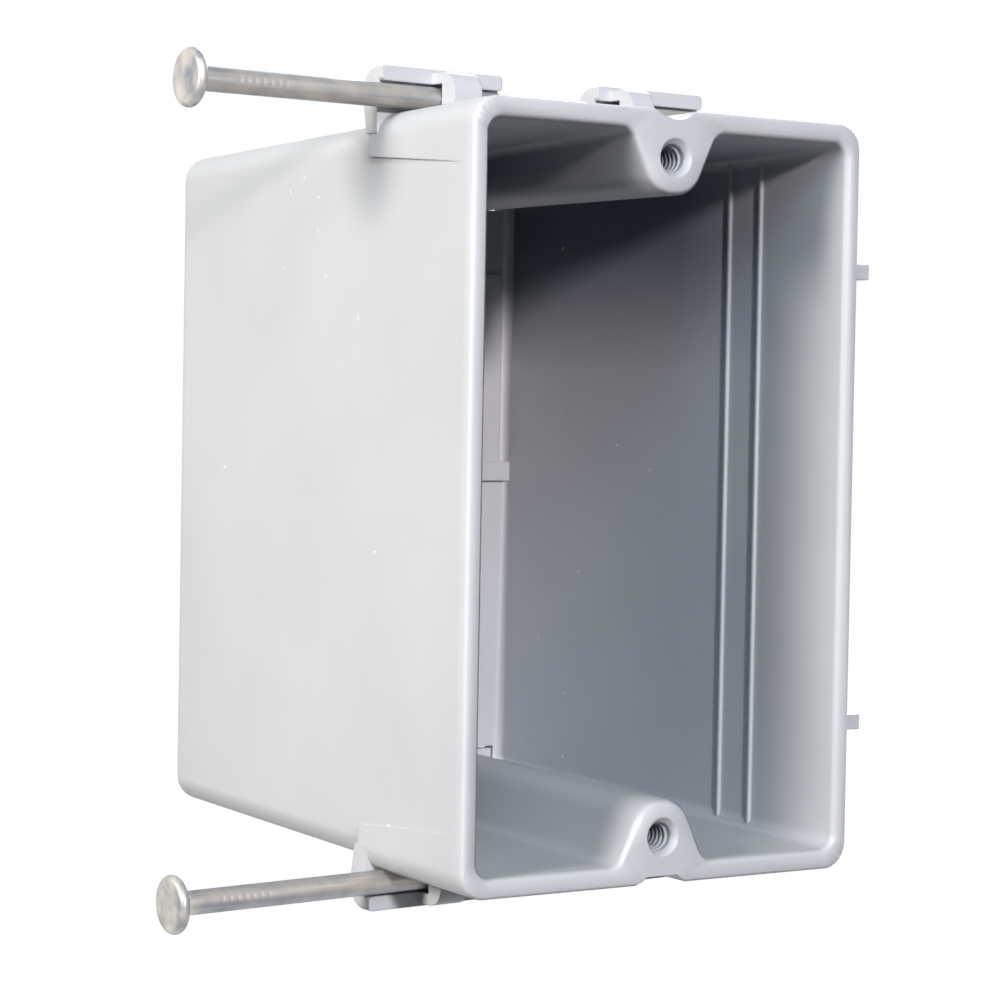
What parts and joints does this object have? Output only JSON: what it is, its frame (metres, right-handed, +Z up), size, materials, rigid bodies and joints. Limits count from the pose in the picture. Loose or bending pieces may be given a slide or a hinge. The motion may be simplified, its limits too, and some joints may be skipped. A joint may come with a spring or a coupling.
{
  "type": "switch box",
  "caption": "Deep moulded plastic switch box, open at the front, with device-screw ridges inside and brackets above and below that hold nails for fixing it to a stud.",
  "frame": {"origin": "midway between the two device screws, on the front plane of the rim", "axes": "+X to the right as seen from the front, towards the stud; +Y back into the wall; +Z up"},
  "size_m": [0.0891, 0.0755, 0.1045],
  "materials": {
    "grey_plastic": "light grey moulded plastic, semi-gloss, with faint scuffs",
    "nail_steel": "bright drawn wire, slightly dull"
  },
  "bodies": {
    "box": {"box_body": "grey_plastic"},
    "upper_nail": {"upper_nail": "nail_steel"},
    "lower_nail": {"lower_nail": "nail_steel"}
  },
  "joints": [
    {"name": "upper_nail_slide", "type": "slide", "parent": "box", "child": "upper_nail", "axis": [1, 0, -0.0087], "range_m": [0, 0.0255]},
    {"name": "lower_nail_slide", "type": "slide", "parent": "box", "child": "lower_nail", "axis": [0.9998, 0, 0.0209], "range_m": [0, 0.026]}
  ]
}
